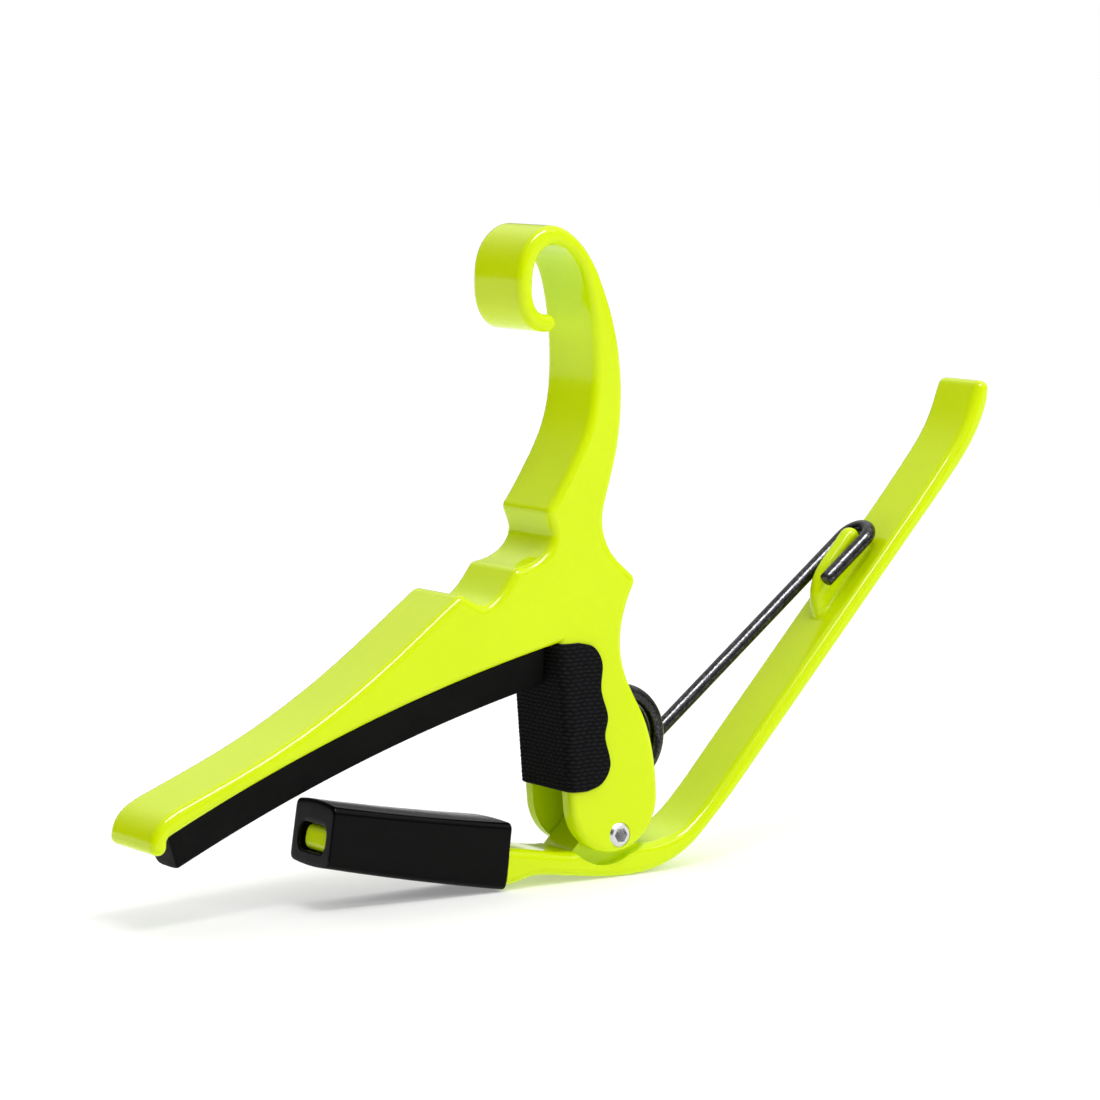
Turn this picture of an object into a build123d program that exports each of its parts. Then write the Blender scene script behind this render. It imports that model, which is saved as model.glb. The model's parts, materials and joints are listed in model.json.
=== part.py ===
"""Spring clamp capo for a guitar neck.

Two die-cast jaws turn on one cross pin. The upper frame carries the string pad, the lever carries
the rubber jaw sleeve, and a torsion spring between the frame's cheeks holds the jaws together.

Frame: X runs along the jaws towards the handles, Y across the width, Z up, millimetres. The origin
is the middle of the underside. Every profile is drawn on the side plane, which is centred on the
hinge axis: its first axis is +X and its second is +Z.
"""
import os
from math import atan2, cos, degrees, hypot, radians, sin

from build123d import *

os.makedirs("parts", exist_ok=True)

# ---- driving dimensions -------------------------------------------------------------------------
HINGE_X = 3.135          # hinge axis from the middle of the object
HINGE_Z = 5.7            # hinge axis above the underside

FRAME_WIDTH = 11.0       # upper frame, across Y
CHEEK_GAP = 6.8          # slot between the two cheeks
FRAME_EDGE = 0.9         # rounding of the casting's long edges
CHEEK_R = 6.65           # rounded lower end of the cheeks
CHEEK_CENTRE = (-0.65, 4.4)
ARM_CORNER = (-8.95, 25.1)   # where the arm's underside meets the front of the cheeks
WEB_BACK = -4.9          # back face of the web that joins the cheeks at the front
WEB_BOTTOM = 6.8
STOP_CENTRE = (3.74, 3.6)    # rib that stops the lever when the jaws are closed
STOP_R = 1.1

LEVER_WIDTH = 9.0        # handle and base strap, across Y
LEVER_EDGE = 1.05        # rounding of the handle's long edges
TONGUE_WIDTH = 6.5       # knuckle that turns between the cheeks
TONGUE_R = 2.8           # knuckle round the pin
KNUCKLE_TOP = -2.0       # heights inside the strap that the knuckle's sides reach down to
KNUCKLE_BASE = -3.4
NOSE_CENTRE = (1.5, 3.75)    # nose of the knuckle, which rests near the stop rib
NOSE_R = 1.0
SHOULDER_LOW = (-16.55, -5.05)
SHOULDER_HIGH = (-16.0, -0.4)
HANDLE_FOOT = (19.4, 4.0)        # outer face, start of the straight run
HANDLE_BEND = (48.1, 35.4)       # outer face, end of the straight run
INNER_BEND = (47.85, 38.55)
INNER_FOOT = (20.75, 8.9)
RECESSES = (((-1.3, 2.3), 6.2), ((0.97, 4.45), 7.4))   # room for the cheeks in the strap
BAR_TIP = (-41.46, 3.04)    # the bar ends a little inside the sleeve
BAR_ROOT = (-15.6, -2.3)
BAR_WIDTH = 6.2          # jaw bar inside the sleeve
BAR_HEIGHT = 3.4
BAR_CORNER = 1.3
BAR_TIP_EDGE = 1.0
POST_WIDTH = 2.3         # fin that the spring hooks round
POST_EDGE = 1.0
POST_ROOT = 0.6          # concave rounding where the post leaves the handle

BARREL_R = 1.5625        # eighth-inch hinge barrel
BARREL_BORE_PLAY = 0.05  # radial, in the lever's bore
BARREL_SEAT_PLAY = 0.02  # radial, in the cheeks
BARREL_NEAR = -5.75      # the barrel's ends across Y
BARREL_FAR = 4.65
BARREL_BEVEL = 0.3
SOCKET_ACROSS_FLATS = 1.7
SOCKET_DEPTH = 1.6
THREAD_R = 0.95          # screw shank in the barrel
THREAD_DEPTH = 6.0
HEAD_R = 2.1             # screw head in the far cheek's counterbore
HEAD_PLAY = 0.1
HEAD_SEAT = 4.7
HEAD_OUT = 5.75

PAD_DEPTH = 5.3          # string pad below the arm
PAD_TOP_WIDTH = 8.0
PAD_BOTTOM_WIDTH = 4.7
PAD_LEFT = -64.3         # the pad's ends along the arm's underside
PAD_RIGHT = -10.4

SLEEVE_WIDTH = 9.2
SLEEVE_EDGE = 1.0
SLEEVE_SECTIONS = (((-41.4, 7.35), (-42.5, 0.0), 0.45),
                   ((-28.5, 4.95), (-29.6, -2.9), 0.3),
                   ((-15.65, 2.85), (-16.7, -5.4), 0.15))
SLEEVE_BOTTOM_CROWN = 0.3
SLEEVE_FIT = 0.05        # play between the sleeve's bore and the bar

GUARD_THICKNESS = 0.4
GUARD_BOTTOM = 6.05
GUARD_TOP = 25.0
GUARD_REACH = 12.0       # from the front fold to past the back edge of the flaps
SKIN_GAP = 0.02          # between a covering and what it covers

WIRE_R = 0.95            # torsion spring wire
COIL_R = 5.75            # coil, to the wire's centre
COIL_CENTRE = (2.8, 11.9)
COIL_SPREAD = 2.3        # wire centre of the outer turns from the middle plane
COIL_TURNS = 2.0
CAVITY_R = 7.7           # room for the coil between the cheeks
LEG_ANGLE = 38.0         # slope of the long leg
LEG_LENGTH = 44.3        # long leg, up to the bend round the post
RETURN_LENGTH = 8.2      # free end after the bend
HIDDEN_LEG_TOP = 24.0    # end of the leg that stands in the frame's pocket
POCKET_R = 1.06          # pocket for the hidden leg
POCKET_Y = -2.235
POCKET_TOP = 24.6
BLEND_LENGTH = 1.2       # half the bend between a coil end and its leg

HALF = FRAME_WIDTH / 2
SIDE = Plane(origin=(HINGE_X, 0, HINGE_Z), x_dir=(1, 0, 0), z_dir=(0, -1, 0))


def side_plane(y):
    """The side plane moved to the height y across the width."""
    return SIDE.offset(-y)


def join(first, points, last):
    """A smooth line from the end of one arc, through points, into the start of another."""
    return Spline(first @ 1, *points, last @ 0, tangents=[first % 1, last % 0],
                  tangent_scalars=[1, 1])


def on_circle(centre, radius, angle):
    """A point of a circle in the side plane, at an angle in degrees."""
    return (centre[0] + radius * cos(radians(angle)), centre[1] + radius * sin(radians(angle)))


# ---- upper frame --------------------------------------------------------------------------------
# The outline runs anticlockwise, from the cheeks' rounded end up the back of the handle, round the
# finger curl, down the inside of the handle, over the two thumb notches and out along the arm.
# Each corner is an arc, and the splines between them leave and meet the arcs tangentially.
with BuildPart() as upper_frame:
    with BuildSketch(SIDE) as frame_side:
        with BuildLine():
            cheek_end = CenterArc(CHEEK_CENTRE, CHEEK_R, 180, 180)
            spur = CenterArc((1.2, 32.15), 1.25, -28, 76)
            curl_tip = CenterArc((-10.6, 65.1), 1.07, -90, 180)
            handle_beak = CenterArc((-9.75, 41.6), 1.1, 142, 58)
            inner_crest = CenterArc((-14.9, 33.75), 1.2, 98, 46)
            outer_crest = CenterArc((-23.6, 30.8), 1.25, 62, 64)
            lip_end = CenterArc((-66.0, 5.1), 1.07, 180, 180)
            lip_root = CenterArc((-63.93, 5.4), 1.0, 180, -64.5)
            join(cheek_end, [(5.5, 9.8), (3.9, 15.0), (1.6, 19.3), (0.4, 24.0)], spur)
            join(spur, [(-1.0, 36.0), (-2.35, 40.4), (-1.7, 43.5), (-0.3, 48.6), (0.45, 54.8),
                        (-0.2, 62.6), (-2.3, 69.3), (-6.0, 75.2), (-10.4, 77.15), (-14.1, 74.6),
                        (-15.1, 70.0), (-14.8, 67.2), (-13.7, 65.2), (-12.2, 64.2)], curl_tip)
            join(curl_tip, [(-11.8, 66.45), (-12.65, 67.5), (-12.95, 69.8), (-12.1, 73.3),
                            (-9.9, 74.8), (-6.7, 73.2), (-4.6, 68.2), (-3.8, 59.5), (-5.0, 51.8),
                            (-7.6, 46.8)], handle_beak)
            join(handle_beak, [(-10.0, 38.6), (-11.3, 36.4)], inner_crest)
            join(inner_crest, [(-17.9, 31.9), (-20.2, 30.6)], outer_crest)
            join(outer_crest, [(-35.4, 23.7), (-50.8, 14.8), (-62.4, 9.9), (-66.3, 7.4)], lip_end)
            Line(lip_end @ 1, lip_root @ 0)
            arm_underside = TangentArc(lip_root @ 1, ARM_CORNER, tangent=lip_root % 1, mode=Mode.PRIVATE)
            # A spline on the arc's points, so that the rounding of its edges is one smooth patch.
            Spline(*[arm_underside @ (step / 8) for step in range(9)],
                   tangents=[arm_underside % 0, arm_underside % 1])
            Line(arm_underside @ 1, cheek_end @ 0)
        make_face()
    extrude(amount=HALF, both=True)
    outer_edges = upper_frame.faces().filter_by(Axis.Y).edges()
    fillet(outer_edges, FRAME_EDGE)
    # The slot between the cheeks: round over the coil, open below, and open to the front below
    # the web.
    with BuildSketch(SIDE):
        with Locations(COIL_CENTRE):
            Circle(CAVITY_R)
        with BuildLine():
            Polyline((WEB_BACK, COIL_CENTRE[1]), (WEB_BACK, WEB_BOTTOM), (-12, WEB_BOTTOM),
                     (-12, -10), (14, -10), (14, COIL_CENTRE[1]), close=True)
        make_face()
    extrude(amount=CHEEK_GAP / 2, both=True, mode=Mode.SUBTRACT)
    with BuildSketch(SIDE):
        with Locations(STOP_CENTRE):
            Circle(STOP_R)
    extrude(amount=CHEEK_GAP / 2 + 0.5, both=True)
    with BuildSketch(SIDE):
        Circle(BARREL_R + BARREL_SEAT_PLAY)
    extrude(amount=HALF, both=True, mode=Mode.SUBTRACT)
    with BuildSketch(side_plane(HEAD_SEAT)):
        Circle(HEAD_R + HEAD_PLAY)
    extrude(amount=HEAD_SEAT - HALF, mode=Mode.SUBTRACT)
    # Blind pocket for the spring's hidden leg, up from the roof of the slot.
    with BuildSketch(Plane(origin=(HINGE_X + COIL_CENTRE[0] - COIL_R, POCKET_Y,
                                   HINGE_Z + COIL_CENTRE[1]))):
        Circle(POCKET_R)
    extrude(amount=POCKET_TOP - COIL_CENTRE[1], mode=Mode.SUBTRACT)
upper_frame.part.label = "upper_frame"
export_step(upper_frame.part, "parts/upper_frame.step")

# ---- string pad ---------------------------------------------------------------------------------
# A trapezoid that follows the arc of the arm's underside, narrower where it meets the strings.
arc_centre = arm_underside.arc_center
arc_radius = arm_underside.radius


def arc_angle(x):
    """The angle on the underside's arc at a place along X from the hinge."""
    along = x - arc_centre.X
    return degrees(atan2((arc_radius ** 2 - along ** 2) ** 0.5, along))


pad_start = arc_angle(PAD_RIGHT)
pad_sweep = arc_angle(PAD_LEFT) - pad_start
pad_outward = (cos(radians(pad_start)), 0, sin(radians(pad_start)))
arc_axis = Axis((HINGE_X + arc_centre.X, 0, HINGE_Z + arc_centre.Y), (0, -1, 0))
PAD_SECTION = Plane(origin=arc_axis.position, x_dir=pad_outward,
                    z_dir=(sin(radians(pad_start)), 0, -cos(radians(pad_start))))
pad_top = arc_radius - SKIN_GAP
pad_bottom = arc_radius - PAD_DEPTH

with BuildPart() as string_pad:
    with BuildSketch(PAD_SECTION):
        with BuildLine():
            Polyline((pad_top, -PAD_TOP_WIDTH / 2), (pad_top, PAD_TOP_WIDTH / 2),
                     (pad_bottom, PAD_BOTTOM_WIDTH / 2), (pad_bottom, -PAD_BOTTOM_WIDTH / 2),
                     close=True)
        make_face()
    revolve(axis=arc_axis, revolution_arc=pad_sweep)
string_pad.part.label = "string_pad"
export_step(string_pad.part, "parts/string_pad.step")

# ---- neck guard ---------------------------------------------------------------------------------
# A woven strip folded round the front of both cheeks, with a free-form back edge.
front_foot = (CHEEK_CENTRE[0] - CHEEK_R, CHEEK_CENTRE[1])
front_lean = (ARM_CORNER[0] - front_foot[0]) / (ARM_CORNER[1] - front_foot[1])
GUARD_PLAN = Plane(origin=(HINGE_X + front_foot[0], 0, HINGE_Z + front_foot[1]),
                   x_dir=(1, 0, -front_lean), z_dir=(front_lean, 0, 1))

with BuildPart() as neck_guard:
    with BuildSketch(GUARD_PLAN):
        with Locations((-SKIN_GAP - GUARD_THICKNESS, 0)):
            Rectangle(GUARD_REACH, FRAME_WIDTH + 2 * (SKIN_GAP + GUARD_THICKNESS),
                      align=(Align.MIN, Align.CENTER))
        fillet(vertices().group_by(Axis.X)[0], FRAME_EDGE + GUARD_THICKNESS)
    extrude(amount=GUARD_TOP)
    with BuildSketch(GUARD_PLAN):
        with Locations((-SKIN_GAP, 0)):
            Rectangle(GUARD_REACH + 1, FRAME_WIDTH + 2 * SKIN_GAP, align=(Align.MIN, Align.CENTER))
        fillet(vertices().group_by(Axis.X)[0], FRAME_EDGE)
    extrude(amount=GUARD_TOP, mode=Mode.SUBTRACT)
    with BuildSketch(SIDE):
        with BuildLine():
            guard_back = Spline((-6.3, GUARD_TOP), (-4.1, 24.3), (-2.85, 22.2), (-3.0, 18.8),
                                (-2.0, 15.4), (-2.4, 12.8), (-1.6, 9.2), (-2.9, 6.9),
                                (-5.3, GUARD_BOTTOM))
            Polyline(guard_back @ 1, (-GUARD_REACH, GUARD_BOTTOM), (-GUARD_REACH, GUARD_TOP),
                     guard_back @ 0)
        make_face()
    extrude(amount=FRAME_WIDTH, both=True, mode=Mode.INTERSECT)
neck_guard.part.label = "neck_guard"
export_step(neck_guard.part, "parts/neck_guard.step")

# ---- lever --------------------------------------------------------------------------------------
handle_slope = degrees(atan2(HANDLE_BEND[1] - HANDLE_FOOT[1], HANDLE_BEND[0] - HANDLE_FOOT[0]))
inner_slope = degrees(atan2(INNER_BEND[1] - INNER_FOOT[1], INNER_BEND[0] - INNER_FOOT[0]))


def heading(angle):
    """A unit step in the side plane, at an angle in degrees."""
    return (cos(radians(angle)), sin(radians(angle)))


def on_handle(point):
    """Whether a point lies on the plane of the handle's straight inner face."""
    across = ((point.X - HINGE_X - INNER_FOOT[0]) * sin(radians(inner_slope))
              - (point.Z - HINGE_Z - INNER_FOOT[1]) * cos(radians(inner_slope)))
    return abs(across) < 0.01


bar_length = hypot(BAR_TIP[0] - BAR_ROOT[0], BAR_TIP[1] - BAR_ROOT[1])
bar_step = ((BAR_TIP[0] - BAR_ROOT[0]) / bar_length, (BAR_TIP[1] - BAR_ROOT[1]) / bar_length)
BAR_SECTION = Plane(origin=(HINGE_X + BAR_ROOT[0], 0, HINGE_Z + BAR_ROOT[1]), x_dir=(0, 1, 0),
                    z_dir=(bar_step[0], 0, bar_step[1]))
recess_depth = (LEVER_WIDTH - TONGUE_WIDTH) / 2

with BuildPart() as lever:
    with BuildSketch(SIDE):
        with BuildLine():
            lever_tip = CenterArc((59.7, 53.9), 1.1, -2, 156)
            Spline(SHOULDER_LOW, (-14.3, -4.75), (-12.0, -4.3), (-9.6, -4.45), (-4.8, -5.1),
                   (2.4, -5.7), (6.4, -5.3), (9.0, -4.5), (11.6, -3.2), (15.65, 0.25),
                   HANDLE_FOOT, tangents=[heading(2), heading(handle_slope)],
                   tangent_scalars=[1, 1])
            Line(HANDLE_FOOT, HANDLE_BEND)
            Spline(HANDLE_BEND, (53.6, 41.4), (57.0, 45.4), (59.6, 49.6), lever_tip @ 0,
                   tangents=[heading(handle_slope), lever_tip % 0], tangent_scalars=[1, 1])
            Spline(lever_tip @ 1, (57.35, 50.95), (55.75, 48.0), (53.25, 44.75), (50.5, 41.55),
                   INNER_BEND, tangents=[lever_tip % 1, heading(inner_slope + 180)],
                   tangent_scalars=[1, 1])
            Line(INNER_BEND, INNER_FOOT)
            Spline(INNER_FOOT, (15.45, 3.15), (13.2, 1.0), (11, -0.55), (8.5, -1.4), (5.5, -1.8),
                   tangents=[heading(inner_slope + 180), heading(180)], tangent_scalars=[1, 1])
            Line((5.5, -1.8), (-6.1, -1.8))
            Spline((-6.1, -1.8), (-11, -1.15), SHOULDER_HIGH,
                   tangents=[heading(180), heading(176)], tangent_scalars=[1, 1])
            Line(SHOULDER_HIGH, SHOULDER_LOW)
        make_face()
    extrude(amount=LEVER_WIDTH / 2, both=True)
    side_edges = lever.faces().filter_by(Axis.Y).edges()
    long_edges = side_edges.filter_by(lambda edge: edge.center().X > HINGE_X + SHOULDER_HIGH[0])
    fillet(long_edges, LEVER_EDGE)
    with BuildSketch(side_plane(-TONGUE_WIDTH / 2), side_plane(LEVER_WIDTH / 2)):
        for centre, radius in RECESSES:
            with Locations(centre):
                Circle(radius)
    extrude(amount=recess_depth, mode=Mode.SUBTRACT)
    with BuildSketch(SIDE):
        Circle(TONGUE_R)
        with Locations(NOSE_CENTRE):
            Circle(NOSE_R)
        make_hull()
        with BuildLine():
            ramp_top = on_circle((0, 0), TONGUE_R, 135)
            ramp_foot = ramp_top[0] - ramp_top[1] + KNUCKLE_TOP
            Polyline(ramp_top, (ramp_foot, KNUCKLE_TOP), (ramp_foot, KNUCKLE_BASE),
                     (TONGUE_R, KNUCKLE_BASE), (TONGUE_R, 0), (0, 0), close=True)
        make_face()
    extrude(amount=TONGUE_WIDTH / 2, both=True)
    with BuildSketch(SIDE):
        Circle(BARREL_R + BARREL_BORE_PLAY)
    extrude(amount=LEVER_WIDTH, both=True, mode=Mode.SUBTRACT)
    with BuildSketch(BAR_SECTION.offset(-2)):
        RectangleRounded(BAR_WIDTH, BAR_HEIGHT, BAR_CORNER)
    extrude(amount=bar_length + 2)
    bar_tip_edges = lever.edges().filter_by(
        lambda edge: edge.center().X < HINGE_X + BAR_TIP[0] + BAR_HEIGHT / 2
        and abs((edge % 0).X) < 0.5)
    fillet(bar_tip_edges, BAR_TIP_EDGE)
    with BuildSketch(SIDE):
        with BuildLine():
            post_top = CenterArc((40.6, 34.9), 1.25, 40, 95)
            Line((44.2, 32.4), post_top @ 0)
            Spline(post_top @ 1, (37.4, 33.2), (35.3, 30.5), (34.55, 28.1), (34.75, 25.3),
                   (35.8, 22.8), tangents=[post_top % 1, heading(-60)], tangent_scalars=[1, 1])
            Line((35.8, 22.8), (44.2, 32.4))
        make_face()
    extrude(amount=POST_WIDTH / 2, both=True)
    post_sides = lever.faces().filter_by(Axis.Y).filter_by(
        lambda face: face.center().X > HINGE_X + 30)
    post_root = post_sides.edges().filter_by(GeomType.LINE).sort_by(SortBy.LENGTH)[-2:]
    post_outline = post_sides.edges() - post_root
    fillet(post_outline, POST_EDGE)
    post_root = lever.edges().filter_by(
        lambda edge: abs(edge.center().Y) < POST_WIDTH / 2 + 0.01
        and on_handle(edge.center()) and edge.center().X > HINGE_X + 30)
    fillet(post_root, POST_ROOT)
lever.part.label = "lever"
export_step(lever.part, "parts/lever.step")

# ---- jaw sleeve ---------------------------------------------------------------------------------
# A rubber tube lofted through three sections across the bar, with crowned top and underside.
# Each section is given by its upper and lower corner in the side plane and its top's crown.

def sleeve_plane(upper, lower):
    """The plane of one sleeve section: first axis across the width, second up the section."""
    rise = (upper[0] - lower[0], upper[1] - lower[1])
    return Plane(origin=(HINGE_X + lower[0], 0, HINGE_Z + lower[1]), x_dir=(0, 1, 0),
                 z_dir=(rise[1], 0, -rise[0]))


with BuildPart() as jaw_sleeve:
    for upper, lower, crown in SLEEVE_SECTIONS:
        height = hypot(upper[0] - lower[0], upper[1] - lower[1])
        with BuildSketch(sleeve_plane(upper, lower)):
            with BuildLine():
                ThreePointArc((-SLEEVE_WIDTH / 2, 0), (0, -SLEEVE_BOTTOM_CROWN),
                              (SLEEVE_WIDTH / 2, 0))
                Line((SLEEVE_WIDTH / 2, 0), (SLEEVE_WIDTH / 2, height))
                ThreePointArc((SLEEVE_WIDTH / 2, height), (0, height + crown),
                              (-SLEEVE_WIDTH / 2, height))
                Line((-SLEEVE_WIDTH / 2, height), (-SLEEVE_WIDTH / 2, 0))
            make_face()
            fillet(vertices(), SLEEVE_EDGE)
    loft()
    with BuildSketch(BAR_SECTION.offset(-4)):
        RectangleRounded(BAR_WIDTH + 2 * SLEEVE_FIT, BAR_HEIGHT + 2 * SLEEVE_FIT,
                         BAR_CORNER + SLEEVE_FIT)
    extrude(amount=bar_length + 8, mode=Mode.SUBTRACT)
jaw_sleeve.part.label = "jaw_sleeve"
export_step(jaw_sleeve.part, "parts/jaw_sleeve.step")

# ---- hinge barrel and screw ---------------------------------------------------------------------
with BuildPart() as hinge_barrel:
    with BuildSketch(side_plane(BARREL_FAR)):
        Circle(BARREL_R)
    extrude(amount=BARREL_FAR - BARREL_NEAR)
    chamfer(hinge_barrel.faces().sort_by(Axis.Y)[0].edges(), BARREL_BEVEL)
    with BuildSketch(side_plane(BARREL_NEAR)):
        RegularPolygon(SOCKET_ACROSS_FLATS / 2, 6, major_radius=False)
    extrude(amount=-SOCKET_DEPTH, mode=Mode.SUBTRACT)
    with BuildSketch(side_plane(BARREL_FAR)):
        Circle(THREAD_R + SKIN_GAP)
    extrude(amount=THREAD_DEPTH + 0.5, mode=Mode.SUBTRACT)
hinge_barrel.part.label = "hinge_barrel"
export_step(hinge_barrel.part, "parts/hinge_barrel.step")

with BuildPart() as hinge_screw:
    with BuildSketch(side_plane(HEAD_OUT)):
        Circle(HEAD_R)
    extrude(amount=HEAD_OUT - HEAD_SEAT - SKIN_GAP)
    chamfer(hinge_screw.faces().sort_by(Axis.Y)[-1].edges(), BARREL_BEVEL)
    with BuildSketch(side_plane(HEAD_SEAT + SKIN_GAP)):
        Circle(THREAD_R)
    extrude(amount=THREAD_DEPTH)
    with BuildSketch(side_plane(HEAD_OUT)):
        RegularPolygon(SOCKET_ACROSS_FLATS / 2, 6, major_radius=False)
    extrude(amount=SOCKET_DEPTH, mode=Mode.SUBTRACT)
hinge_screw.part.label = "hinge_screw"
export_step(hinge_screw.part, "parts/hinge_screw.step")

# ---- torsion spring -----------------------------------------------------------------------------
# The coil is wound from the hidden leg on the near side to the long leg on the far side. Each leg
# meets the coil in a short arc, because the coil also climbs across the width.
coil_end = LEG_ANGLE - 90
coil_sweep = 360 * COIL_TURNS + 180 + coil_end
coil_pitch = 2 * COIL_SPREAD * 360 / coil_sweep
COIL_PLANE = Plane(origin=(HINGE_X + COIL_CENTRE[0], COIL_SPREAD, HINGE_Z + COIL_CENTRE[1]),
                   x_dir=(cos(radians(coil_end)), 0, sin(radians(coil_end))), z_dir=(0, -1, 0))
coil = COIL_PLANE * Helix(coil_pitch, 2 * COIL_SPREAD, COIL_R, lefthand=True)
leg_step = Vector(cos(radians(LEG_ANGLE)), 0, sin(radians(LEG_ANGLE)))
far_end = coil @ 0
far_turn = far_end - (coil % 0) * BLEND_LENGTH
leg_start = far_turn + leg_step * BLEND_LENGTH
leg_end = leg_start + leg_step * (LEG_LENGTH - 2 * BLEND_LENGTH)
hook_far = leg_end + Vector(0, -2 * COIL_SPREAD, 0)
hook_middle = (leg_end + hook_far) / 2 + leg_step * COIL_SPREAD
near_end = coil @ 1
near_turn = near_end + (coil % 1) * BLEND_LENGTH
hidden_start = near_turn + Vector(0, 0, BLEND_LENGTH)
hidden_end = Vector(hidden_start.X, hidden_start.Y, HINGE_Z + HIDDEN_LEG_TOP)

with BuildPart() as torsion_spring:
    with BuildLine() as spring_path:
        Line(hidden_end, hidden_start)
        TangentArc(hidden_start, near_end, tangent=(0, 0, -1))
        add(coil)
        TangentArc(leg_start, far_end, tangent=-leg_step)
        Line(leg_start, leg_end)
        ThreePointArc(leg_end, hook_middle, hook_far)
        Line(hook_far, hook_far - leg_step * RETURN_LENGTH)
    with BuildSketch(Plane(origin=hidden_end, z_dir=(0, 0, -1))):
        Circle(WIRE_R)
    sweep(path=spring_path.wires()[0], is_frenet=True)
torsion_spring.part.label = "torsion_spring"
export_step(torsion_spring.part, "parts/torsion_spring.step")
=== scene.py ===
"""Looks of a guitar capo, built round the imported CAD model.

Lengths of the pieces are millimetres from the hinge axis: X towards the squeeze handles, Y across
the width, Z up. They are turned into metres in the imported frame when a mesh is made. Places of the
camera and lights, and all sizes inside materials, are metres.
"""
import json
import math

import bmesh
import bpy
import numpy as np
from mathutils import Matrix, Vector


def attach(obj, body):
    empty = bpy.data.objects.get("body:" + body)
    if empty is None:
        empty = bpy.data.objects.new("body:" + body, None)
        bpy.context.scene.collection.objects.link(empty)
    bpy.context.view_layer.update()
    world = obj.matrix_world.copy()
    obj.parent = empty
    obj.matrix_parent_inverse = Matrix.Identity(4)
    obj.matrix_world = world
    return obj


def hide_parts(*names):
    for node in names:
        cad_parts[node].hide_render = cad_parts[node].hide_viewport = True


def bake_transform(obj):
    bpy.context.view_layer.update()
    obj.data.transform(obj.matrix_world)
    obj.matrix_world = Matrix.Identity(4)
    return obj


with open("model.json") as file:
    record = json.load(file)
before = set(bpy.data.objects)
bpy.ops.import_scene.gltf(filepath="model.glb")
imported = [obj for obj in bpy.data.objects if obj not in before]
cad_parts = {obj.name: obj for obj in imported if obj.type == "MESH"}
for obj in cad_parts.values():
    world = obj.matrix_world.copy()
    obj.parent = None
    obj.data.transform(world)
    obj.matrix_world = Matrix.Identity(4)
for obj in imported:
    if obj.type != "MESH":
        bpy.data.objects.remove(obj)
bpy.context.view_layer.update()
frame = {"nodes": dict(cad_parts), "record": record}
nodes = frame["nodes"]
hinge = np.array(frame["record"]["behaviour"]["joints"][0]["pos_m"])

MM = 0.001                  # metres in a millimetre

# ---- camera -------------------------------------------------------------------------------------
CAMERA_PLACE = (-0.30429, -0.44565, 0.10327)
CAMERA_TILT = 83.487        # degrees from straight down
CAMERA_HEADING = -33.987    # degrees about Z
CAMERA_LENS = 140.8
SENSOR_WIDTH = 36.0
NEAREST_SEEN = 0.01

camera_data = bpy.data.cameras.new("camera")
camera_data.sensor_width = SENSOR_WIDTH
camera_data.lens = CAMERA_LENS
camera_data.clip_start = NEAREST_SEEN
camera = bpy.data.objects.new("camera", camera_data)
camera.location = CAMERA_PLACE
camera.rotation_euler = (math.radians(CAMERA_TILT), 0.0, math.radians(CAMERA_HEADING))
bpy.context.collection.objects.link(camera)
bpy.context.scene.camera = camera
bpy.context.scene.view_settings.view_transform = "Standard"

# ---- shader helpers -----------------------------------------------------------------------------


def new_material(name):
    """A material with its node tree and its Principled shader."""
    material = bpy.data.materials.new(name)
    material.use_nodes = True
    tree = material.node_tree
    return material, tree, tree.nodes["Principled BSDF"]


def add_node(tree, kind, inputs=(), **settings):
    """A new node with its settings and input values."""
    node = tree.nodes.new(kind)
    for key, value in settings.items():
        setattr(node, key, value)
    for key, value in inputs:
        node.inputs[key].default_value = value
    return node


def ramp(tree, source, stops):
    """A colour ramp driven by source, with stops of (place, grey or colour)."""
    node = tree.nodes.new("ShaderNodeValToRGB")
    while len(node.color_ramp.elements) < len(stops):
        node.color_ramp.elements.new(0.5)
    for element, (place, colour) in zip(node.color_ramp.elements, stops):
        element.position = place
        element.color = (*colour, 1) if isinstance(colour, tuple) else (colour, colour, colour, 1)
    tree.links.new(source, node.inputs["Fac"])
    return node.outputs["Color"]


def noise(tree, place, scale, detail=3.0, roughness=0.5, stretch=(1, 1, 1)):
    """Noise over a coordinate, in cycles per metre, with a stretch along each axis."""
    mapping = add_node(tree, "ShaderNodeMapping", [("Scale", stretch)])
    tree.links.new(place, mapping.inputs["Vector"])
    node = add_node(tree, "ShaderNodeTexNoise",
                    [("Scale", scale), ("Detail", detail), ("Roughness", roughness)])
    tree.links.new(mapping.outputs["Vector"], node.inputs["Vector"])
    return node.outputs["Fac"]


def bump(tree, height, distance, strength=1.0, below=None):
    """A bump of that distance in metres, on top of another bump when one is given."""
    node = add_node(tree, "ShaderNodeBump", [("Strength", strength), ("Distance", distance)])
    tree.links.new(height, node.inputs["Height"])
    if below is not None:
        tree.links.new(below, node.inputs["Normal"])
    return node.outputs["Normal"]


def coordinates(tree, kind):
    """Object or UV coordinates."""
    return tree.nodes.new("ShaderNodeTexCoord").outputs[kind]


# ---- floor --------------------------------------------------------------------------------------
FLOOR_SIZE = 40
FLOOR_GREY = 0.80
FLOOR_ROUGHNESS = 0.9
FLOOR_GLOW = 0.26           # lifts the far floor to the backdrop's white

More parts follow.
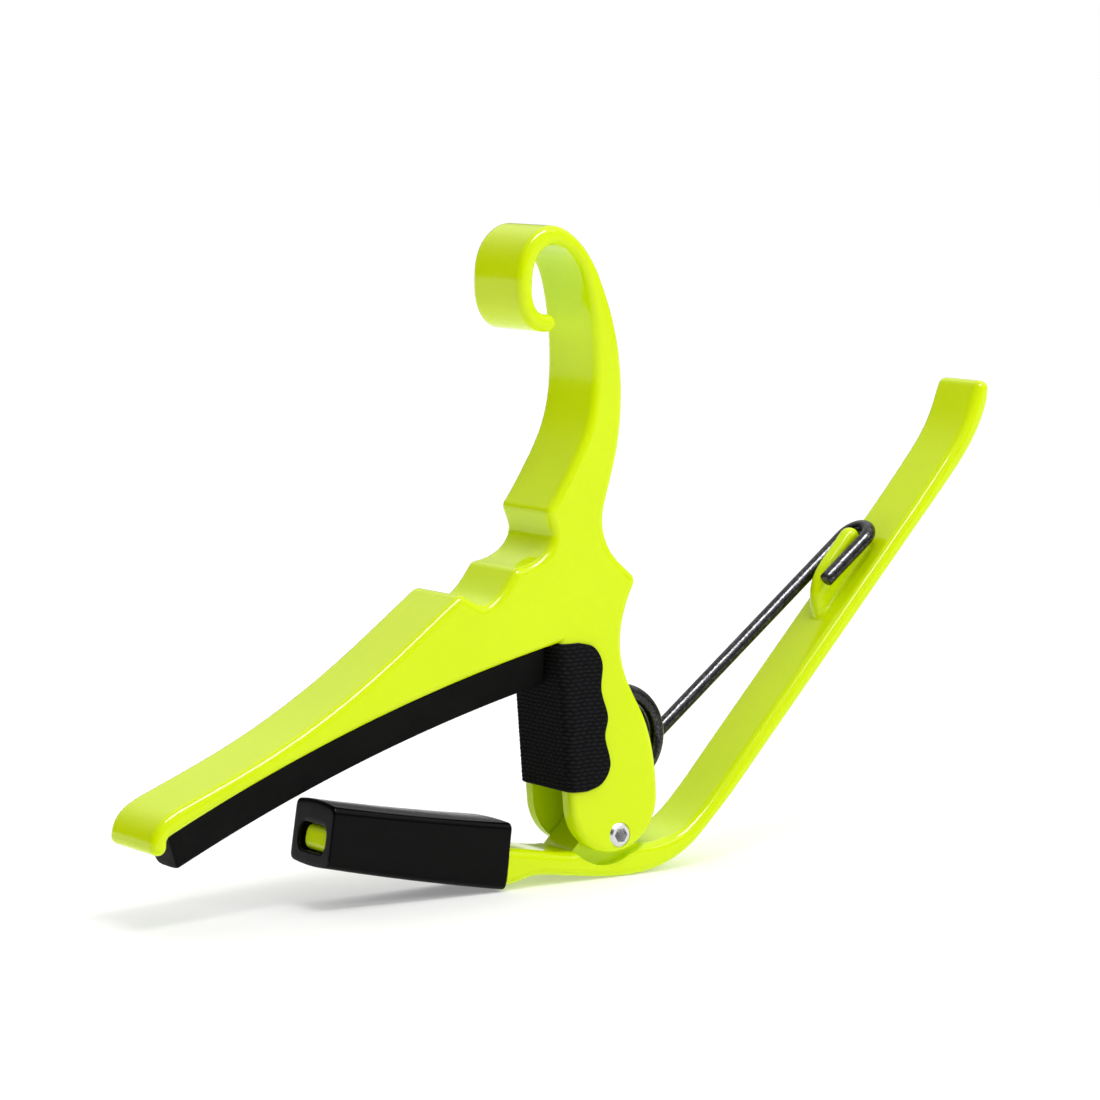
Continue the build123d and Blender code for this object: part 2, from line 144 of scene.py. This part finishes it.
floor_material, tree, shader = new_material("studio_floor")
shader.inputs["Base Color"].default_value = (FLOOR_GREY, FLOOR_GREY, FLOOR_GREY, 1)
shader.inputs["Roughness"].default_value = FLOOR_ROUGHNESS
shader.inputs["Specular IOR Level"].default_value = 0.0
shader.inputs["Emission Color"].default_value = (1, 1, 1, 1)
shader.inputs["Emission Strength"].default_value = FLOOR_GLOW
bpy.ops.mesh.primitive_plane_add(size=FLOOR_SIZE, location=(0, 0, 0))
floor = bpy.context.object
floor.name = "studio_floor"
floor.data.materials.append(floor_material)

# ---- room and softboxes -------------------------------------------------------------------------
# The room is a bright ceiling over dimmer walls, dimmest on the left; the backdrop itself is white.
WALL = 0.16                 # radiance of the walls
CEILING = 1.5               # radiance of the ceiling
LEFT_WALL = 0.12            # the left side's share of the radiance elsewhere
# Parts of a direction between which the light changes: its Z from the walls to the ceiling, and
# its X from the dim left side to the rest.
CEILING_REACH = (0.05, 0.8)
LEFT_REACH = (-0.9, 0.2)
LIT_POINT = (0, 0, 0.03)    # where all the softboxes point

world = bpy.data.worlds.new("studio")
world.use_nodes = True
bpy.context.scene.world = world
tree = world.node_tree
background = tree.nodes["Background"]
split = tree.nodes.new("ShaderNodeSeparateXYZ")
tree.links.new(tree.nodes.new("ShaderNodeTexCoord").outputs["Generated"], split.inputs["Vector"])
ceiling = add_node(tree, "ShaderNodeMapRange",
                   [("From Min", CEILING_REACH[0]), ("From Max", CEILING_REACH[1]),
                    ("To Min", WALL), ("To Max", CEILING)], interpolation_type="SMOOTHSTEP")
tree.links.new(split.outputs["Z"], ceiling.inputs["Value"])
left_wall = add_node(tree, "ShaderNodeMapRange",
                     [("From Min", LEFT_REACH[0]), ("From Max", LEFT_REACH[1]),
                      ("To Min", LEFT_WALL), ("To Max", 1.0)], interpolation_type="SMOOTHSTEP")
tree.links.new(split.outputs["X"], left_wall.inputs["Value"])
room = add_node(tree, "ShaderNodeMath", operation="MULTIPLY")
tree.links.new(ceiling.outputs["Result"], room.inputs[0])
tree.links.new(left_wall.outputs["Result"], room.inputs[1])
backdrop = add_node(tree, "ShaderNodeMath", operation="MAXIMUM")
tree.links.new(room.outputs[0], backdrop.inputs[0])
tree.links.new(tree.nodes.new("ShaderNodeLightPath").outputs["Is Camera Ray"], backdrop.inputs[1])
tree.links.new(backdrop.outputs[0], background.inputs["Color"])


def softbox(name, place, width, height, radiance):
    """A rectangular softbox of that radiance, turned towards the lit point."""
    data = bpy.data.lights.new(name, "AREA")
    data.shape = "RECTANGLE"
    data.size = width
    data.size_y = height
    data.energy = radiance * math.pi * width * height
    light = bpy.data.objects.new(name, data)
    light.location = place
    light.rotation_euler = (Vector(LIT_POINT) - Vector(place)).to_track_quat("-Z", "Y").to_euler()
    bpy.context.collection.objects.link(light)
    return light


softbox("top_strip", (-0.05, -0.35, 0.8), width=0.35, height=0.1, radiance=14)
softbox("front_right", (0.55, -0.85, 0.6), width=0.25, height=0.25, radiance=6.5)
# A long box that only shows in reflections: the white lines along the enamel's rounded edges.
glint = softbox("glint_strip", (-0.05, -0.42, 0.8), width=0.55, height=0.26, radiance=30)
glint.visible_diffuse = False

# ---- meshes -------------------------------------------------------------------------------------


def skin(name, rings, wrap=False):
    """A closed smooth mesh through rings of points (rings x around x 3, millimetres from the hinge).

    wrap joins the last ring to the first. Otherwise a fan of triangles closes each end. The UV
    map is metres along the piece and metres round it.
    """
    rings = np.asarray(rings, float)
    count, around, _ = rings.shape
    points = rings.reshape(-1, 3)
    faces = []
    spans = count if wrap else count - 1
    for i in range(spans):
        j = (i + 1) % count
        for k in range(around):
            m = (k + 1) % around
            faces.append((i * around + k, i * around + m, j * around + m, j * around + k))
    if not wrap:
        points = np.vstack([points, rings[0].mean(0), rings[-1].mean(0)])
        first, last = count * around, count * around + 1
        for k in range(around):
            m = (k + 1) % around
            faces.append((first, m, k))
            faces.append((last, (count - 1) * around + k, (count - 1) * around + m))
    mesh = bpy.data.meshes.new(name)
    mesh.from_pydata((points * MM + hinge).tolist(), [], faces)
    length = travel_along(rings.mean(1))
    middle = rings[count // 2]
    girth = travel_along(np.vstack([middle, middle[:1]]))
    layer = mesh.uv_layers.new(name="UVMap")
    values = np.zeros((len(mesh.loops), 2))
    for polygon in mesh.polygons:
        columns = [v % around for v in polygon.vertices if v < count * around]
        seam = max(columns) - min(columns) > around // 2
        for loop in polygon.loop_indices:
            vertex = mesh.loops[loop].vertex_index
            if vertex < count * around:
                column = vertex % around
                turn = around if seam and column == 0 else column
                values[loop] = (length[vertex // around] * MM, girth[turn] * MM)
            else:
                values[loop] = (length[0 if vertex == count * around else -1] * MM, 0)
    layer.data.foreach_set("uv", values.ravel())
    mesh.polygons.foreach_set("use_smooth", np.ones(len(mesh.polygons), bool))
    mesh.update()
    piece = bpy.data.objects.new(name, mesh)
    bpy.context.collection.objects.link(piece)
    recalculate(mesh)
    return piece


def recalculate(mesh):
    """Turns the faces outwards."""
    work = bmesh.new()
    work.from_mesh(mesh)
    bmesh.ops.recalc_face_normals(work, faces=work.faces)
    work.to_mesh(mesh)
    work.free()


def unit(vector):
    """The vector at length 1."""
    return vector / np.linalg.norm(vector)


def travel_along(points):
    """The distance travelled at each point of a path."""
    return np.concatenate([[0], np.cumsum(np.linalg.norm(np.diff(points, axis=0), axis=1))])


def rounded_rectangle(width, height, corner, count, corner_points=13):
    """Points round a rectangle with rounded corners, evenly spaced, anticlockwise from the right."""
    pieces = []
    for turn, (sx, sy) in enumerate(((1, 1), (-1, 1), (-1, -1), (1, -1))):
        angles = np.radians(np.linspace(turn * 90, turn * 90 + 90, corner_points))
        centre = np.array([sx * (width / 2 - corner), sy * (height / 2 - corner)])
        pieces.append(centre + corner * np.column_stack([np.cos(angles), np.sin(angles)]))
    outline = np.vstack(pieces)
    outline = np.vstack([[(width / 2, 0)], outline, [(width / 2, 0)]])
    travelled = travel_along(outline)
    even = np.linspace(0, travelled[-1], count, endpoint=False)
    return np.column_stack([np.interp(even, travelled, outline[:, 0]),
                            np.interp(even, travelled, outline[:, 1])])


# ---- torsion spring -----------------------------------------------------------------------------
WIRE_R = 0.95
COIL_R = 5.75
COIL_CENTRE = (2.8, 11.9)
COIL_SPREAD = 2.3           # the coil's ends and the two sides of the hook, either side of the middle
COIL_START = 180.0          # degrees, where the hidden leg meets the coil
COIL_SWEEP = 848.0          # degrees
COIL_STEP = 4.0             # degrees between two rings of the wire
LEG_ANGLE = 38.0            # the long leg's slope
LEG_LENGTH = 44.3
HOOK_STEP = 7.5             # degrees
RETURN_LENGTH = 8.2
RETURN_STEP = 0.8
HIDDEN_LEG_TOP = 24.0

turns = np.radians(np.arange(COIL_START, COIL_START + COIL_SWEEP + 0.1, COIL_STEP))
coil_path = np.column_stack([COIL_CENTRE[0] + COIL_R * np.cos(turns),
                             np.linspace(-COIL_SPREAD, COIL_SPREAD, len(turns)),
                             COIL_CENTRE[1] + COIL_R * np.sin(turns)])
leg_step = np.array([math.cos(math.radians(LEG_ANGLE)), 0, math.sin(math.radians(LEG_ANGLE))])
hidden_leg = coil_path[0] + np.outer(np.arange(HIDDEN_LEG_TOP - COIL_CENTRE[1], 0.9, -1.0), (0, 0, 1))
long_leg = coil_path[-1] + np.outer(np.arange(1.0, LEG_LENGTH, 1.0), leg_step)
hook_centre = coil_path[-1] + leg_step * LEG_LENGTH - np.array([0, COIL_SPREAD, 0])
hook = [hook_centre + COIL_SPREAD * (math.cos(a) * np.array([0, 1, 0]) + math.sin(a) * leg_step)
        for a in np.radians(np.arange(0, 181, HOOK_STEP))]
free_end = hook[-1] - np.outer(np.arange(RETURN_STEP, RETURN_LENGTH + 0.1, RETURN_STEP), leg_step)
wire_path = np.vstack([hidden_leg, coil_path, long_leg, hook, free_end])


def tube(path, radius, around=24, bevel=0.12):
    """Rings of a round wire along a path, with both ends cut and slightly bevelled."""
    steps = np.gradient(path, axis=0)
    steps = steps / np.linalg.norm(steps, axis=1)[:, None]
    across = unit(np.cross(steps[0], (0, 1, 0)))
    angles = np.linspace(0, 2 * math.pi, around, endpoint=False)
    rings = []
    for place, step in zip(path, steps):
        across = unit(across - step * across.dot(step))
        up = np.cross(step, across)
        rings.append(place + radius * (np.outer(np.cos(angles), across) + np.outer(np.sin(angles), up)))
    for end, sign in ((0, 1), (-1, -1)):
        inward = steps[end] * sign
        rim = path[end] + (rings[end] - path[end]) * (1 - bevel / radius)
        rings[end] = rings[end] + inward * bevel
        rings.insert(0 if end == 0 else len(rings), rim)
        middle = path[end] + (rim - path[end]) * 0.5
        rings.insert(0 if end == 0 else len(rings), middle)
    return rings


spring = skin("spring_wire", tube(wire_path, WIRE_R))

# ---- jaw sleeve ---------------------------------------------------------------------------------
SLEEVE_WIDTH = 9.2
SLEEVE_CORNER = 0.75
SLEEVE_WAIST = 0.1          # the sides draw in by this much halfway along
SLEEVE_AROUND = 112
BORE_WIDTH = 6.26
BORE_HEIGHT = 3.46
BORE_CORNER = 1.33
# Upper and lower corners of the sleeve at its left end, middle and right end, as X and Z.
SLEEVE_UPPER = ((-41.4, 7.35), (-28.5, 4.95), (-15.65, 2.85))
SLEEVE_LOWER = ((-42.5, 0.0), (-29.6, -2.9), (-16.7, -5.4))
SLEEVE_TOP_CROWN = (0.45, 0.3, 0.15)
SLEEVE_BOTTOM_CROWN = (0.3, 0.3, 0.3)
# Two places on the jaw bar's middle line, which the bore follows.
BAR_LEFT = np.array((-42.1, 3.17))
BAR_RIGHT = np.array((-15.6, -2.3))


def through_three(values, t):
    """The smooth curve through three values, at t from 0 to 1."""
    first, middle, last = (np.asarray(v, float) for v in values)
    return (first * (1 - t) * (1 - 2 * t) + middle * 4 * t * (1 - t) + last * t * (2 * t - 1))


def sleeve_ring(t, openness):
    """One ring of the sleeve: openness 1 is its outside and 0 the wall of its bore."""
    upper = through_three(SLEEVE_UPPER, t)
    lower = through_three(SLEEVE_LOWER, t)
    height = np.linalg.norm(upper - lower)
    rise = (upper - lower) / height
    bar = BAR_RIGHT - BAR_LEFT
    bore_height, _ = np.linalg.solve(np.column_stack([rise, -bar]), BAR_LEFT - lower)
    bore = rounded_rectangle(BORE_WIDTH, BORE_HEIGHT, BORE_CORNER, SLEEVE_AROUND) + (0, bore_height)
    outer = rounded_rectangle(SLEEVE_WIDTH, height, SLEEVE_CORNER, SLEEVE_AROUND)
    share = 1 - (outer[:, 0] / (SLEEVE_WIDTH / 2)) ** 2
    top = outer[:, 1] > 0
    swell = np.where(top, through_three(SLEEVE_TOP_CROWN, t), -through_three(SLEEVE_BOTTOM_CROWN, t))
    outer[:, 1] += share * swell * np.clip(np.abs(outer[:, 1]) / (height / 2) * 2 - 1, 0, 1)
    waist = (SLEEVE_WAIST * math.sin(math.pi * t)
             * np.clip(1 - (outer[:, 1] / (height * 0.35)) ** 2, 0, 1))
    outer[:, 0] -= np.sign(outer[:, 0]) * waist
    outer = outer + (0, height / 2)
    section = bore * (1 - openness) + outer * openness
    return np.column_stack([lower[0] + rise[0] * section[:, 1], section[:, 0],
                            lower[1] + rise[1] * section[:, 1]])


# The rings go out of the bore's left mouth, along the outside and back in at the right mouth.
# Each pair is the place along the sleeve and the openness: up the bore, over the cut end, outside.
end_profile = [(0.10, 0.0), (0.05, 0.0), (0.02, 0.0), (0.007, 0.0),
               (0.002, 0.02), (0.0, 0.07), (0.0, 0.2), (0.0, 0.4), (0.0, 0.6), (0.0, 0.8),
               (0.0005, 0.93), (0.0022, 0.985), (0.006, 1.0), (0.014, 1.0), (0.028, 1.0)]
sleeve_rings = [sleeve_ring(t, b) for t, b in end_profile]
sleeve_rings += [sleeve_ring(t, 1.0) for t in np.linspace(0.045, 0.955, 46)]
sleeve_rings += [sleeve_ring(1 - t, b) for t, b in reversed(end_profile)]
sleeve_rings += [sleeve_ring(t, 0.0) for t in np.linspace(0.86, 0.14, 13)]
sleeve = skin("sleeve_tube", sleeve_rings, wrap=True)

# ---- string pad ---------------------------------------------------------------------------------
PAD_TOP_WIDTH = 8.0
PAD_BOTTOM_WIDTH = 4.7
PAD_DEPTH = 5.3
PAD_LEFT = -64.3
PAD_RIGHT = -10.4
PAD_EDGE = 0.3              # rounding of the end faces' edges
PAD_GAP = 0.02              # between the pad and the arm
PAD_CROWN = 0.08            # swell of the lower face across its width
PAD_END_INSET = 1.2         # the ring inside each end face
PAD_AROUND = 96
UNDERSIDE_LEFT = np.array((-64.36, 6.30))
UNDERSIDE_RIGHT = np.array((-8.95, 25.1))
UNDERSIDE_START = 25.5      # the underside's slope at its left end, in degrees
chord = UNDERSIDE_RIGHT - UNDERSIDE_LEFT
inward = np.array([math.sin(math.radians(UNDERSIDE_START)), -math.cos(math.radians(UNDERSIDE_START))])
arc_radius = chord.dot(chord) / (2 * chord.dot(inward))
arc_centre = UNDERSIDE_LEFT + inward * arc_radius


def pad_ring(angle, inset):
    """The pad's rounded section at an angle on the arc, drawn in by inset all round."""
    outward = np.array([math.cos(angle), math.sin(angle)])
    height = PAD_DEPTH - 2 * inset
    outline = rounded_rectangle(2.0, height, 0.4, PAD_AROUND)
    level = outline[:, 1] / height + 0.5
    half = (PAD_BOTTOM_WIDTH + (PAD_TOP_WIDTH - PAD_BOTTOM_WIDTH) * level) / 2 - inset
    across = outline[:, 0] * half
    lower_face = level < 0.02
    painted_rib_shade = PAD_CROWN * (1 - (across / half) ** 2) * lower_face
    base = arc_radius - PAD_GAP - PAD_DEPTH + inset
    radial = base + level * height + PAD_CROWN * lower_face - painted_rib_shade
    place = arc_centre[None, :] + radial[:, None] * outward
    return np.column_stack([place[:, 0], across, place[:, 1]])


def pad_angle(x):
    """The angle on the underside's arc at a place along X."""
    return math.acos((x - arc_centre[0]) / arc_radius)


end_steps = [(PAD_EDGE * (1 - math.cos(a)), PAD_EDGE * (1 - math.sin(a)))
             for a in np.radians((0, 20, 45, 70, 90))]
left, right = pad_angle(PAD_LEFT), pad_angle(PAD_RIGHT)
pad_rings = [pad_ring(left, PAD_END_INSET)]
pad_rings += [pad_ring(left - along / arc_radius, inset) for along, inset in end_steps]
pad_rings += [pad_ring(a, 0)
              for a in np.linspace(left - 0.5 / arc_radius, right + 0.5 / arc_radius, 110)]
pad_rings += [pad_ring(right + along / arc_radius, inset) for along, inset in reversed(end_steps)]
pad_rings += [pad_ring(right, PAD_END_INSET)]
pad = skin("string_cushion", pad_rings)

# ---- neck guard ---------------------------------------------------------------------------------
GUARD_BOTTOM = 6.05
GUARD_TOP = 25.0
GUARD_THICKNESS = 0.4
SKIN_GAP = 0.02
CHEEK_HALF = 5.5
CHEEK_EDGE = 0.9
FRONT_FOOT = (-7.3, 4.4)
FRONT_HEAD = (-8.95, 25.1)
# The flap's wavy back edge, from the top down, as X and Z.
GUARD_BACK = ((-6.3, 25.0), (-4.1, 24.3), (-2.85, 22.2), (-3.0, 18.8), (-2.0, 15.4),
              (-2.4, 12.8), (-1.6, 9.2), (-2.9, 6.9), (-5.3, 6.05))
GUARD_ROWS = 330
GUARD_EDGE = 0.3            # width of the rounding along the strip's border
RIB_PITCH = 0.52
RIB_HEIGHT = 0.07
STITCH = 1.05               # length of a stitch along its rib
FRONT_HALF = 5.4            # the ribs stand higher on the front, out to this far from the middle


def smooth_curve(points, steps=24):
    """Dense points on the Catmull-Rom curve through the given points."""
    points = np.asarray(points, float)
    padded = np.vstack([2 * points[0] - points[1], points, 2 * points[-1] - points[-2]])
    t = np.linspace(0, 1, steps, endpoint=False)[:, None]
    pieces = []
    for a, b, c, d in zip(padded, padded[1:], padded[2:], padded[3:]):
        pieces.append(0.5 * (2 * b + (c - a) * t + (2 * a - 5 * b + 4 * c - d) * t ** 2
                             + (3 * b - a - 3 * c + d) * t ** 3))
    return np.vstack(pieces + [points[-1:]])


back_edge = smooth_curve(GUARD_BACK)[::-1]
rows = np.linspace(GUARD_BOTTOM, GUARD_TOP, GUARD_ROWS)
back = np.interp(rows, back_edge[:, 1], back_edge[:, 0])
lean = (FRONT_HEAD[0] - FRONT_FOOT[0]) / (FRONT_HEAD[1] - FRONT_FOOT[1])
front = FRONT_FOOT[0] + lean * (rows - FRONT_FOOT[1])
fold_x = front + CHEEK_EDGE - SKIN_GAP
fold_y = CHEEK_HALF + SKIN_GAP - CHEEK_EDGE
flap_columns, fold_columns, front_columns = 46, 15, 90
flap = np.linspace(0, 1, flap_columns, endpoint=False)
fold = np.radians(np.linspace(0, 90, fold_columns, endpoint=False))
span = np.linspace(-fold_y, fold_y, front_columns)


def guard_grid(offset):
    """Points of the strip at an offset from the casting (rows x columns), near flap to far flap."""
    radius = CHEEK_EDGE + offset
    flap_x = back[:, None] + (fold_x - back)[:, None] * flap
    near_y = np.broadcast_to(-(fold_y + radius[:, :flap_columns]), flap_x.shape)
    fold_r = radius[:, flap_columns:flap_columns + fold_columns]
    near_fold = (fold_x[:, None] - fold_r * np.sin(fold), -fold_y - fold_r * np.cos(fold))
    front_r = radius[:, flap_columns + fold_columns:flap_columns + fold_columns + front_columns]
    middle = (fold_x[:, None] - front_r, np.broadcast_to(span, front_r.shape))
    far_r = radius[:, ::-1]
    far_fold = (fold_x[:, None] - far_r[:, flap_columns:flap_columns + fold_columns] * np.sin(fold),
                fold_y + far_r[:, flap_columns:flap_columns + fold_columns] * np.cos(fold))
    far_y = fold_y + far_r[:, :flap_columns]
    x = np.hstack([flap_x, near_fold[0], middle[0], far_fold[0][:, ::-1], flap_x[:, ::-1]])
    y = np.hstack([near_y, near_fold[1], middle[1], far_fold[1][:, ::-1], far_y[:, ::-1]])
    z = np.broadcast_to(rows[:, None], x.shape)
    return np.stack([x, y, z], axis=2)


columns = 2 * (flap_columns + fold_columns) + front_columns
flat_middle = guard_grid(np.full((len(rows), columns), GUARD_THICKNESS / 2))
steps = np.linalg.norm(np.diff(flat_middle, axis=1), axis=2)
travel = np.concatenate([np.zeros((len(rows), 1)), np.cumsum(steps, axis=1)], axis=1)
across = travel - travel[:, columns // 2][:, None]
height = np.broadcast_to(rows[:, None] - GUARD_BOTTOM, across.shape)
to_side = np.minimum(travel, travel[:, -1][:, None] - travel)
to_end = np.minimum(height, height[-1, 0] - height)
to_edge = np.minimum(to_side, to_end)
rounding = np.sqrt(np.clip(1 - (1 - np.clip(to_edge / GUARD_EDGE, 0, 1)) ** 2, 0, 1))
# Ribs run across the strip and waver a little. Each has its own shift of stitches, from a hash.
rib = height / RIB_PITCH + 0.06 * np.sin(across * 1.7) + 0.05 * np.sin(across * 4.1 + height)
rib_number = np.floor(rib)
shift = np.mod(np.sin(rib_number * 12.9898) * 43758.5453, 1.0)
stitch = across / STITCH + 0.5 * np.mod(rib_number, 2) + 0.35 * shift
on_front = 1 / (1 + np.exp((np.abs(across) - FRONT_HALF) * 4))
relief = (0.5 - 0.5 * np.cos(2 * math.pi * rib)) ** 0.7 * (0.72 + 0.28 * np.cos(2 * math.pi * stitch))
lift = RIB_HEIGHT * (relief - 0.5) * (0.45 + 0.55 * on_front)
outer = guard_grid(GUARD_THICKNESS * (0.25 + 0.75 * rounding) + lift * rounding)
inner = guard_grid(np.full((len(rows), columns), 0.0))


def woven_strip(name, outer_grid, inner_grid):
    """A closed mesh between two grids of points."""
    count, wide, _ = outer_grid.shape
    points = np.vstack([outer_grid.reshape(-1, 3), inner_grid.reshape(-1, 3)]) * MM + hinge
    number = np.arange(count * wide).reshape(count, wide)
    below = number + count * wide
    faces = []
    for layer, flip in ((number, False), (below, True)):
        quads = np.stack([layer[:-1, :-1], layer[:-1, 1:], layer[1:, 1:], layer[1:, :-1]], axis=2)
        quads = quads.reshape(-1, 4)
        faces += (quads[:, ::-1] if flip else quads).tolist()
    border = np.concatenate([number[0, :-1], number[:-1, -1], number[-1, :0:-1], number[:0:-1, 0]])
    follow = np.roll(border, -1)
    size = count * wide
    faces += np.stack([follow, border, border + size, follow + size], axis=1).tolist()
    mesh = bpy.data.meshes.new(name)
    mesh.from_pydata(points.tolist(), [], faces)
    values = np.stack([across * MM, height * MM], axis=2).reshape(-1, 2)
    values = np.vstack([values, values])
    corner = np.zeros(len(mesh.loops), int)
    mesh.loops.foreach_get("vertex_index", corner)
    layer = mesh.uv_layers.new(name="UVMap")
    layer.data.foreach_set("uv", values[corner].ravel())
    # The rib relief is also stored on the points, for the fabric material's painted shade in the grooves
    # between the ribs.
    relief_layer = mesh.attributes.new("relief", "FLOAT", "POINT")
    relief_layer.data.foreach_set("value", np.concatenate([relief.ravel(), relief.ravel()]))
    mesh.polygons.foreach_set("use_smooth", np.ones(len(mesh.polygons), bool))
    mesh.update()
    piece = bpy.data.objects.new(name, mesh)
    bpy.context.collection.objects.link(piece)
    recalculate(mesh)
    return piece


guard = woven_strip("guard_strip", outer, inner)

# ---- materials ----------------------------------------------------------------------------------


def enamel(name):
    """Glossy fluorescent yellow-green powder enamel over a casting, with a faint orange peel."""
    material, tree, shader = new_material(name)
    place = coordinates(tree, "Object")
    broad = noise(tree, place, 60, 2)
    colour = ramp(tree, broad, [(0.3, (0.685, 0.875, 0.001)), (0.7, (0.715, 0.905, 0.0014))])
    tree.links.new(colour, shader.inputs["Base Color"])
    tree.links.new(ramp(tree, noise(tree, place, 350, 4, 0.65), [(0.3, 0.09), (0.75, 0.15)]),
                   shader.inputs["Roughness"])
    tree.links.new(bump(tree, noise(tree, place, 500, 1, 0.3), 0.000012, 0.5), shader.inputs["Normal"])
    shader.inputs["Specular IOR Level"].default_value = 0.24
    return material


def rubber(name, base, roughness, grain, waves, specular):
    """Black moulded rubber with a little dust.

    roughness is its lowest and highest value; grain and waves are cycles per metre and depth.
    """
    material, tree, shader = new_material(name)
    place = coordinates(tree, "Object")
    dust = noise(tree, place, 420, 5, 0.7)
    dusty = (base * 1.7, base * 1.7, base * 1.75)
    tree.links.new(ramp(tree, dust, [(0.35, (base, base, base)), (0.8, dusty)]),
                   shader.inputs["Base Color"])
    tree.links.new(ramp(tree, noise(tree, place, 260, 4, 0.6), [(0.3, roughness[0]), (0.7, roughness[1])]),
                   shader.inputs["Roughness"])
    wavy = bump(tree, noise(tree, place, waves[0], 2), waves[1], 0.8)
    tree.links.new(bump(tree, noise(tree, place, grain[0], 3, 0.6), grain[1], 0.7, wavy),
                   shader.inputs["Normal"])
    shader.inputs["Specular IOR Level"].default_value = specular
    return material


def woven(name):
    """Black woven strip with loose fibre and a soft sheen; the colour follows the rib relief, lighter on
    the crowns and darker in the grooves between ribs, a painted shade.
    """
    material, tree, shader = new_material(name)
    place = coordinates(tree, "UV")
    # Painted shade: the rib relief lightens the colour on the crowns and darkens it down in the grooves
    # between the ribs.
    painted_rib_shade = add_node(tree, "ShaderNodeAttribute", attribute_name="relief").outputs["Fac"]
    fibre = noise(tree, place, 9000, 3, 0.7, (0.25, 1, 1))
    patch = noise(tree, place, 700, 3, 0.6)
    mixed = add_node(tree, "ShaderNodeMath", [(1, 0.55)], operation="MULTIPLY_ADD")
    tree.links.new(painted_rib_shade, mixed.inputs[0])
    tree.links.new(fibre, mixed.inputs[2])
    shade = add_node(tree, "ShaderNodeMath", [(1, 0.25)], operation="MULTIPLY_ADD")
    tree.links.new(patch, shade.inputs[0])
    tree.links.new(mixed.outputs[0], shade.inputs[2])
    colour = ramp(tree, shade.outputs[0], [(0.45, (0.0016, 0.0016, 0.0018)),
                                           (0.85, (0.0045, 0.0045, 0.005)),
                                           (1.0, (0.012, 0.012, 0.014))])
    tree.links.new(colour, shader.inputs["Base Color"])
    tree.links.new(ramp(tree, fibre, [(0.3, 0.75), (0.7, 0.95)]), shader.inputs["Roughness"])
    tree.links.new(bump(tree, fibre, 0.00004, 0.9), shader.inputs["Normal"])
    shader.inputs["Sheen Weight"].default_value = 0.02
    shader.inputs["Sheen Roughness"].default_value = 0.4
    shader.inputs["Specular IOR Level"].default_value = 0.05
    return material


def black_oxide(name):
    """Spring wire with a black oxide finish: lengthwise drawing marks, and grains worn bright."""
    material, tree, shader = new_material(name)
    place = coordinates(tree, "UV")
    solid = coordinates(tree, "Object")
    drawn = noise(tree, place, 9000, 3, 0.6, (0.03, 1, 1))
    grain = noise(tree, solid, 2600, 4, 0.75)
    tree.links.new(ramp(tree, grain, [(0.42, (0.026, 0.026, 0.028)), (0.6, (0.062, 0.062, 0.065)),
                                      (0.72, (0.20, 0.195, 0.185))]), shader.inputs["Base Color"])
    tree.links.new(ramp(tree, drawn, [(0.3, 0.16), (0.7, 0.32)]), shader.inputs["Roughness"])
    scored = bump(tree, drawn, 0.00001, 0.6)
    tree.links.new(bump(tree, grain, 0.000012, 0.5, scored), shader.inputs["Normal"])
    shader.inputs["Metallic"].default_value = 0.95
    return material


def turned_steel(name, centre):
    """Turned stainless steel: fine rings round the pin's axis and faint handling marks."""
    material, tree, shader = new_material(name)
    place = coordinates(tree, "Object")
    apart = add_node(tree, "ShaderNodeVectorMath", operation="SUBTRACT")
    apart.inputs[1].default_value = centre
    tree.links.new(place, apart.inputs[0])
    flat = add_node(tree, "ShaderNodeVectorMath", operation="MULTIPLY")
    flat.inputs[1].default_value = (1, 0, 1)
    tree.links.new(apart.outputs[0], flat.inputs[0])
    radius = add_node(tree, "ShaderNodeVectorMath", operation="LENGTH")
    tree.links.new(flat.outputs[0], radius.inputs[0])
    rings = add_node(tree, "ShaderNodeTexNoise", [("Scale", 30000), ("Detail", 2), ("W", 0)],
                     noise_dimensions="1D")
    tree.links.new(radius.outputs["Value"], rings.inputs["W"])
    marks = noise(tree, place, 1500, 4, 0.7)
    tree.links.new(ramp(tree, marks, [(0.35, 0.16), (0.7, 0.30)]), shader.inputs["Roughness"])
    tree.links.new(ramp(tree, marks, [(0.3, (0.60, 0.60, 0.61)), (0.7, (0.72, 0.72, 0.73))]),
                   shader.inputs["Base Color"])
    tree.links.new(bump(tree, rings.outputs["Fac"], 0.000006, 0.5), shader.inputs["Normal"])
    shader.inputs["Metallic"].default_value = 1.0
    return material


def paint(piece, material):
    """Puts one material on every slot of a piece."""
    if not piece.material_slots:
        piece.data.materials.append(material)
    for slot in piece.material_slots:
        slot.material = material


bright = enamel("fluorescent_enamel")
for casting in ("upper_frame", "lever"):
    paint(nodes[casting], bright)
steel = turned_steel("turned_steel", tuple(hinge))
for metal in ("hinge_barrel", "hinge_screw"):
    paint(nodes[metal], steel)
paint(pad, rubber("pad_rubber", 0.0028, roughness=(0.48, 0.62), grain=(4000, 0.000015),
                  waves=(300, 0.00002), specular=0.06))
paint(sleeve, rubber("sleeve_rubber", 0.0012, roughness=(0.14, 0.24), grain=(3000, 0.000004),
                     waves=(160, 0.00005), specular=0.08))
paint(guard, woven("guard_fabric"))
paint(spring, black_oxide("spring_black"))

# ---- what each piece stands for, and what it rides on --------------------------------------------
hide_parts("torsion_spring")
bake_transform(spring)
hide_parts("jaw_sleeve")
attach(sleeve, "lever")
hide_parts("string_pad")
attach(pad, "frame")
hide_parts("neck_guard")
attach(guard, "frame")
